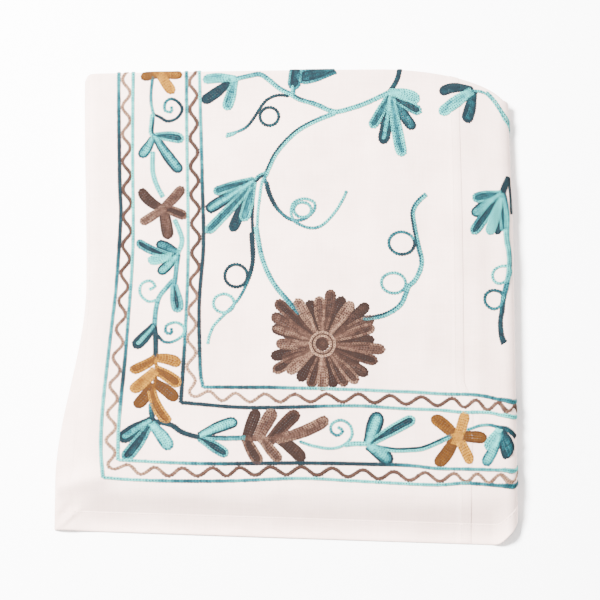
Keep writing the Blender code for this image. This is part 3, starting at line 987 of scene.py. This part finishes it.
# Vines, leaves and tendrils of the field
field = {
    "leaves": (
        ("teal", ((212, 606), (169, 606), 12, (20, 30), -2.0), ((206, 604), (168, 575), 13, (97, 95), 0.5),
         ((210, 605), (199, 564), 13, (20, 50), 0.5), ((295, 646), (288, 591), 16, (45, 95, 90), 0),
         ((344, 618), (293, 606), 19, (50, 95, 80), 0.5), ((236, 468), (183, 451), 11.5, (30, 75), -0.5),
         ((236, 466), (174, 426), 14, (97, 60, 25), -0.5), ((235, 463), (174, 396), 12, (25, 70), 0.5),
         ((233, 462), (207, 398), 12.5, (85, 95), 0.5), ((235, 465), (222, 412), 13, (15, 50), 1.0),
         ((415, 583), (391, 538), 12, (25, 70), 1.0), ((416, 580), (406, 516), 14, (97, 85, 35), 1.0),
         ((418, 579), (432, 500), 14, (15, 40, 60), -0.5), ((418, 580), (448, 538), 13.5, (97, 65), -0.5),
         ((416, 583), (458, 562), 13.5, (30, 85), -0.5), ((415, 586), (456, 579), 16, (15, 22), 1.5),
         ((530, 608), (484, 592), 11.5, (95, 92), -3.5), ((528, 606), (484, 563), 13, (15, 30), 0.5),
         ((530, 607), (518, 559), 13, (97, 80), 1.5), ((564, 468), (525, 448), 13, (30, 70), -1.0),
         ((562, 466), (524, 425), 12, (85, 35), -0.5), ((562, 465), (523, 399), 12, (35, 85), 0.5),
         ((562, 461), (545, 401), 11.5, (15, 25), 0.5), ((557, 463), (556, 402), 9.5, (97, 95), 0.5),
         ((563, 468), (565, 406), 9, (30, 75), 0)),
    ),
    "stems": (
        ("teal", (((210, 606), (232, 611), (244, 612), (256, 604), (270, 592), (285, 584)),
          (45, 50, 35, 60), (20, 40, 15, 10)),
         (((285, 584), (296, 577), (318, 570), (343, 560), (369, 566), (390, 574), (417, 587)),
          (80, 40, 30, 35, 30), (15, 30, 20, 20, 25)),
         (((434, 646), (431, 625), (426, 604), (416, 587)), (90, 97, 90), (95, 92, 80)),
         (((288, 596), (287, 583)), (90, 30), (10, 10)),
         (((282, 582), (267, 583), (253, 577), (244, 566), (238, 556), (227, 541), (215, 534), (200, 530)),
          (97, 95, 90, 90, 85, 40, 20)),
         (((213, 533), (206, 529), (199, 527)), (30, 15)),
         (((343, 558), (318, 548), (296, 536), (279, 521), (264, 502), (256, 485), (251, 473)),
          (25, 10, 12, 12, 15), (30, 70, 85, 90, 70)),
         (((250, 473), (254, 452), (263, 433), (275, 420), (289, 413), (303, 415), (315, 426), (315, 437),
          (302, 442), (289, 437), (285, 426), (289, 412), (308, 403), (325, 406), (342, 423), (353, 441),
          (358, 452)), (50, 97, 97, 60, 55, 35, 30, 25, 30, 50, 35, 20, 20, 30)),
         (((253, 465), (258, 447), (267, 429), (280, 416), (290, 412)), (95, 95, 80, 60)),
         (((252, 476), (244, 473), (236, 465)), (80, 95), (30, 40)),
         (((236, 466), (234, 418), (235, 387), (236, 367), (234, 348), (228, 330), (219, 311), (210, 299),
          (198, 286), (185, 272), (179, 258), (177, 247)), (90, 97, 97, 97, 95, 60, 35, 20, 15)),
         (((232, 396), (233, 376), (234, 358), (230, 340), (223, 325)), (95, 97)),
         (((234, 463), (234, 440), (233, 420)), (95, 97)),
         (((249, 470), (246, 462), (243, 439), (241, 417), (240, 387)), (10, 10, 15, 30)),
         (((239, 404), (242, 386), (246, 366), (252, 348), (261, 330), (272, 315), (285, 300), (296, 287)),
          (35, 40, 30, 45, 90), (15, 25, 20, 30, 70)),
         (((379, 283), (388, 283), (405, 287), (419, 294), (429, 303), (434, 314), (439, 326), (447, 334),
          (454, 348), (456, 362), (452, 379), (448, 400), (445, 424), (451, 438), (463, 450)),
          (90, 90, 50, 40, 30, 60, 90, 85, 70, 50), (50, 30, 20, 35, 20, 35, 30, 30, 20)),
         (((528, 606), (546, 610), (562, 600), (576, 583), (600, 562)), (35, 20, 25, 30)),
         (((548, 613), (562, 606), (577, 590), (602, 570)), (30, 20, 25)),
         (((564, 467), (566, 478), (572, 499)), (97, 92), (90, 97)),
         (((573, 497), (574, 468), (575, 435)), (97, 90)),
         (((565, 468), (568, 434), (567, 398), (570, 367), (569, 343), (565, 322), (562, 309), (560, 292),
          (558, 279), (559, 262), (562, 250)), (90, 35, 30, 25, 30, 40, 85, 92, 90),
          (30, 30, 20, 20, 35, 60, 90, 90)),
         (((296, 632), (298, 646)), (50, 50))),
    ),
    "rings": (
        ((256, 554), 12.5, 12.5, (95, 85)), ((213, 338), 15, 15, (90, 97)),
        ((197, 301), 13.5, 12.5, (15, 25)), ((300, 427), 11.5, 10, (30, 35)),
        ((430, 383), 17, 15, (50, 95)), ((419, 330), 16, 13.5, (25, 40)), ((560, 342), 11.5, 12, (15, 25)),
        ((550, 310), 12.2, 12.2, (85, 40)),
    ),
}

# The big flower: each petal has its direction in degrees, its reach in mm and its two tones. Round
# the heart run rings of a radius and tones, and a coil inwards
flower = {
    "centre": (326, 248),
    "petalStart": 17.0,
    "petalWidth": 12.8,
    "deeper": 10,
    "petals": (
        (137, 83, 50, 80), (150, 76, 55, 50), (162, 69, 75, 35), (180, 60, 30, 35), (-165, 69, 100, 95),
        (-150, 74, 35, 80), (-140, 59, 20, 30), (-122, 57, 95, 90), (128, 50, 95, 90), (171, 50, 60, 70),
        (-26, 52, 90, 80), (-157, 56, 40, 60), (-106, 59, 40, 80), (-90, 61, 25, 35), (-75, 58, 95, 95),
        (-61, 62, 40, 70), (-48, 67, 25, 60), (-34, 70, 75, 60), (-17, 74, 50, 85), (-4, 81, 35, 50),
        (6, 67, 85, 80), (19, 71, 30, 60), (28, 75, 45, 60), (42, 80, 85, 70), (55, 68, 20, 30),
        (67, 68, 90, 85), (81, 73, 45, 65), (94, 63, 30, 45), (107, 60, 95, 90), (120, 68, 20, 30),
    ),
    "rings": ((15.8, (20, 15)), (13.4, (70, 90, 80)), (11.0, (20, 30))),
    "coil": {"radius": 9.0, "turns": 3.6, "endRadius": 0.6},
    "coilTones": (35, 80, 70, 90, 80, 70),
}


def flowerRows():
    centre = flower["centre"]
    rows = []
    for degrees, reach, edge, middle in flower["petals"]:
        angle = math.radians(degrees)
        root, tip = ((centre[0] + out * math.cos(angle), centre[1] + out * math.sin(angle))
                     for out in (flower["petalStart"], reach))
        tones = (edge + flower["deeper"], middle + flower["deeper"])
        rows += leafRows("brown", root, tip, flower["petalWidth"], tones, hand.uniform(-1.0, 1.0),
                         leafShape["petalRoot"])
    for radius, tones in flower["rings"]:
        rows.append(row(roundLine(centre, radius), "brown", tones))
    rows.append(row(roundLine(centre, **flower["coil"]), "brown", flower["coilTones"]))
    return rows


# The far half of the top layer turns under at the right and lies on the ground. It isn't seen, so the
# borders go on plainly and the pattern is taken to repeat
turnedUnder = {
    "repeat": 482,
    "lines": (
        ((586, 52), (620, 52), (760, 62), (930, 66), (1120, 65)),
        ((586, 68), (620, 69), (760, 84), (930, 90), (1120, 89)),
        ((586, 137), (620, 139), (760, 158), (930, 166), (1120, 165)),
        ((586, 158), (620, 160), (760, 181), (930, 189), (1120, 188)),
    ),
    "lineTones": (50, 20, 40, 90, 95, 50, 20, 30, 70),
    "waves": (
        ((586, 60), (620, 60), (760, 73), (930, 78), (1120, 77)),
        ((586, 148), (620, 150), (760, 170), (930, 178), (1120, 177)),
    ),
    "waveTones": (30, 60, 85, 40, 20, 50),
    "beats": ((0, 0.0), (600, 15.8)),
}


def underRows():
    rows = []
    for points in turnedUnder["lines"]:
        rows.append(row(curveThrough(points), "teal", turnedUnder["lineTones"], stitch["lineWidth"]))
    for points in turnedUnder["waves"]:
        path = waveAlong(points, turnedUnder["beats"])
        rows.append(row(path, "brown", turnedUnder["waveTones"], stitch["waveWidth"]))
    return rows + planRows(endBand, turnedUnder["repeat"])


# Short lengths of the pattern that show where the inner bundles turn at the back
backTurn = {
    "start": 628,
    "end": 645,
    "slant": 6,
    "teal": (1273, 1391, 1546, 1688, 1795, 1934, 2033, 2052, 2123, 2140),
    "brown": (1330, 2043, 2131),
}


def backRows():
    rows = []
    for yarn in ("teal", "brown"):
        for across in backTurn[yarn]:
            slant = hand.uniform(-backTurn["slant"], backTurn["slant"])
            path = [(across, backTurn["start"]), (across + slant, backTurn["end"])]
            rows.append(row(path, yarn, (100 * hand.random(),), stitch["lineWidth"]))
    return rows


# Plain stitches of white thread along both hems and both rows of the felled seam
sewing = {
    "length": 2.6,
    "width": 0.75,
    "height": 0.3,
    "lift": 0.6,
    "stops": 60,
    "tones": (30, 50, 20, 40),
    "paths": (((23.4, 641), (23.4, 23.4)), ((23.4, 23.4), (575, 23.4)), ((499.0, 2), (499.0, 641)),
              ((508.2, 2), (508.2, 641))),
}


def sewnRows():
    rows = []
    for start, end in sewing["paths"]:
        path = []
        for i in range(sewing["stops"] + 1):
            u, v = (mix(a, b, i / sewing["stops"]) for a, b in zip(start, end))
            path.append((u + drift(u * mm, v * mm) / mm, v))
        rows.append(row(path, "thread", sewing["tones"]))
    return rows


def makeLink(name, steps):
    # One chain stitch: a loop of yarn drawn out to a teardrop, with a hollow in it. Its narrow tail
    # comes up inside the last one's head and lies over it
    bm = bmesh.new()
    reach = stitch["width"] / 2
    bmesh.ops.create_circle(bm, cap_ends=True, segments=steps, radius=reach)
    crown = bmesh.ops.extrude_face_region(bm, geom=bm.faces[:], use_keep_orig=True)["geom"]
    crownVerts = [part for part in crown if isinstance(part, bmesh.types.BMVert)]
    bmesh.ops.scale(bm, verts=crownVerts, vec=(stitch["crownAt"], stitch["crownAt"], 1))
    bmesh.ops.translate(bm, verts=crownVerts, vec=(0, 0, stitch["height"]))
    top = [part for part in crown if isinstance(part, bmesh.types.BMFace)]
    bmesh.ops.inset_individual(bm, faces=top, thickness=reach * (stitch["crownAt"] - stitch["hollowAt"]),
                               depth=-stitch["hollowDepth"] * stitch["height"])
    halfLength = stitch["length"] * stitch["overlap"] / 2
    # the hollow's and the rim's colours are painted shade
    tint = []  # which of the stitch's colours each corner has: 0 in the hollow, 1 on the crown, 2 at the rim
    for vert in bm.verts:
        atRim = vert.co.xy.length > 0.95 * reach
        tint.append(2 if atRim else 1 if vert.co.z > 0.9 * stitch["height"] else 0)
        along = vert.co.x / reach
        vert.co.x = along * halfLength
        vert.co.y *= 1 + stitch["teardrop"] * along
        vert.co.z += stitch["tailLift"] * (1 - along) / 2
    bmesh.ops.recalc_face_normals(bm, faces=bm.faces)
    return {"mesh": finishMesh(name, bm), "tint": tint}


def makeSewnStitch(name):
    bm = bmesh.new()
    bmesh.ops.create_uvsphere(bm, u_segments=5, v_segments=3, radius=1)
    for vert in bm.verts:
        vert.co = (vert.co.z * sewing["length"] / 2, vert.co.x * sewing["width"] / 2,
                   (vert.co.y + sewing["lift"]) * sewing["height"])
    bmesh.ops.recalc_face_normals(bm, faces=bm.faces)
    return {"tint": [1] * len(bm.verts), "mesh": finishMesh(name, bm)}


def pressAt(u):
    # Wool between the cloth and the ground is pressed flat
    intoTurn = (u - acrossLengths[0]) / acrossLengths[1]
    return mix(1.0, stitch["pressed"], ease((intoTurn - stitch["pressedFrom"]) / stitch["pressedEase"]))


def placeLinks(rows):
    # Where each stitch of the rows lies: across, along, heading, length, width, colours
    links = []
    uneven = stitch["unevenPlace"]
    for one in rows:
        path = [Vector(point) for point in one["path"]]
        spans = [(b - a).length for a, b in zip(path, path[1:])]
        total = sum(spans)
        count = max(1, round(total / stitch["length"]))
        toneStops = np.linspace(0, 1, len(one["tones"]))
        at = 0
        passed = 0.0
        for i in range(count):
            target = (i + 0.5) * total / count
            while at < len(spans) - 1 and passed + spans[at] < target:
                passed += spans[at]
                at += 1
            middle = path[at].lerp(path[at + 1], (target - passed) / max(spans[at], 1e-6))
            run = path[at + 1] - path[at]
            if middle.y > stitch["farthestBack"]:
                continue
            tone = float(np.interp(target / total, toneStops, one["tones"]))
            tone += hand.uniform(-1, 1) * stitch["unevenTone"]
            colour = dyed(one["yarn"], tone)
            # painted shade at the rim, where the stitch meets the cloth, and one fixed tone in the hollow
            rim = [part * stitch["rimShadeTone"] for part in colour]
            links.append({
                "u": middle.x + hand.uniform(-uneven, uneven),
                "v": middle.y + hand.uniform(-uneven, uneven),
                "heading": math.atan2(run.y, run.x) + hand.uniform(-1, 1) * stitch["unevenTurn"],
                "length": total / count / stitch["length"],
                "width": mix(*one["width"], within(tone)) * hand.uniform(*stitch["unevenWidth"]),
                "colours": (dyed(one["yarn"], one["hollowShade"]), colour, rim),
            })
    return links


topLink = makeLink("chain stitch", 8)
plainLink = makeLink("plain chain stitch", 6)  # for the side that lies on the ground
wool = dyedYarn("crewel wool", woolLook)


def embroider(name, rows, link=topLink, material=wool):
    links = placeLinks(rows)
    chain = addObject(name + " chain", link["mesh"])
    array = chain.modifiers.new("a link for each stitch", "ARRAY")
    array.count = len(links)
    array.use_relative_offset = False
    array.use_constant_offset = True
    array.constant_offset_displace = (0, 0, 0)
    mesh = bpy.data.meshes.new_from_object(chain.evaluated_get(bpy.context.evaluated_depsgraph_get()))
    bpy.data.objects.remove(chain, do_unlink=True)
    shape = [vert.co.copy() for vert in link["mesh"].vertices]
    colours = np.ones((len(mesh.vertices), 4), np.float32)
    places = np.zeros((len(mesh.vertices), 3), np.float32)
    for number, one in enumerate(links):
        aside = math.sin(one["heading"])
        ahead = math.cos(one["heading"])
        swing = drift(one["u"] * mm, one["v"] * mm)
        bottom = halfThickness(one["u"] * mm - swing, one["v"] * mm, True)
        press = pressAt(one["u"] * mm)
        for corner, co in enumerate(shape):
            x = co.x * one["length"]
            y = co.y * one["width"]
            u = one["u"] + x * ahead - y * aside
            v = one["v"] + x * aside + y * ahead
            index = number * len(shape) + corner
            places[index] = onCloth(u * mm, v * mm, bottom + co.z * press * mm)
            # each corner takes the stitch's dye, or the painted shade of its hollow or rim
            colours[index, :3] = one["colours"][link["tint"][corner]]
    mesh.vertices.foreach_set("co", places.ravel())
    dyeAndShade = mesh.color_attributes.new("dyeAndShade", "FLOAT_COLOR", "POINT")
    dyeAndShade.data.foreach_set("color", colours.ravel())
    mesh.materials.clear()
    mesh.materials.append(material)
    mesh.shade_smooth()
    mesh.update()
    piece = addObject(name, mesh)
    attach(piece, "root")
    mesh.calc_loop_triangles()
    print(name, len(links), "stitches", len(mesh.loop_triangles), "triangles")


embroider("border_stitching", borderRows())
embroider("side_band_stitching", planRows(sideBand))
embroider("end_band_stitching", planRows(endBand))
embroider("field_stitching", planRows(field))
embroider("flower_stitching", flowerRows())
embroider("under_border_stitching", underRows(), plainLink)
embroider("under_field_stitching", planRows(field, turnedUnder["repeat"]), plainLink)
embroider("back_turn_stitching", backRows())
embroider("hem_and_seam_stitching", sewnRows(), makeSewnStitch("sewn stitch"),
          dyedYarn("mercerised cotton thread", threadLook))

# Floor and light
studio = {
    "floor": 30.0,
    "paper": {"colour": "ffffff", "roughness": 0.9, "sheen": 0.0, "specular": 0.5},
    "world": 1.84,
    "key": {"place": (-1.4, 0.95, 2.65), "size": 0.9, "power": 1130},
}


def setStudio():
    bm = bmesh.new()
    bmesh.ops.create_grid(bm, x_segments=2, y_segments=2, size=studio["floor"] / 2)
    mesh = finishMesh("floor", bm)
    material, tree, shader = startMaterial("matt white paper", studio["paper"])
    shader.inputs["Base Color"].default_value = (*linear(studio["paper"]["colour"]), 1)
    mesh.materials.append(material)
    addObject("floor", mesh)

    world = bpy.data.worlds.new("studio")
    world.use_nodes = True
    background = world.node_tree.nodes["Background"]
    background.inputs["Color"].default_value = (1, 1, 1, 1)
    background.inputs["Strength"].default_value = studio["world"]
    bpy.context.scene.world = world

    key = bpy.data.lights.new("key", "AREA")
    key.size = studio["key"]["size"]
    key.energy = studio["key"]["power"]
    lamp = addObject("key", key)
    lamp.location = studio["key"]["place"]
    lamp.rotation_euler = Vector(studio["key"]["place"]).to_track_quat("Z", "Y").to_euler()


setStudio()
print("studio set")
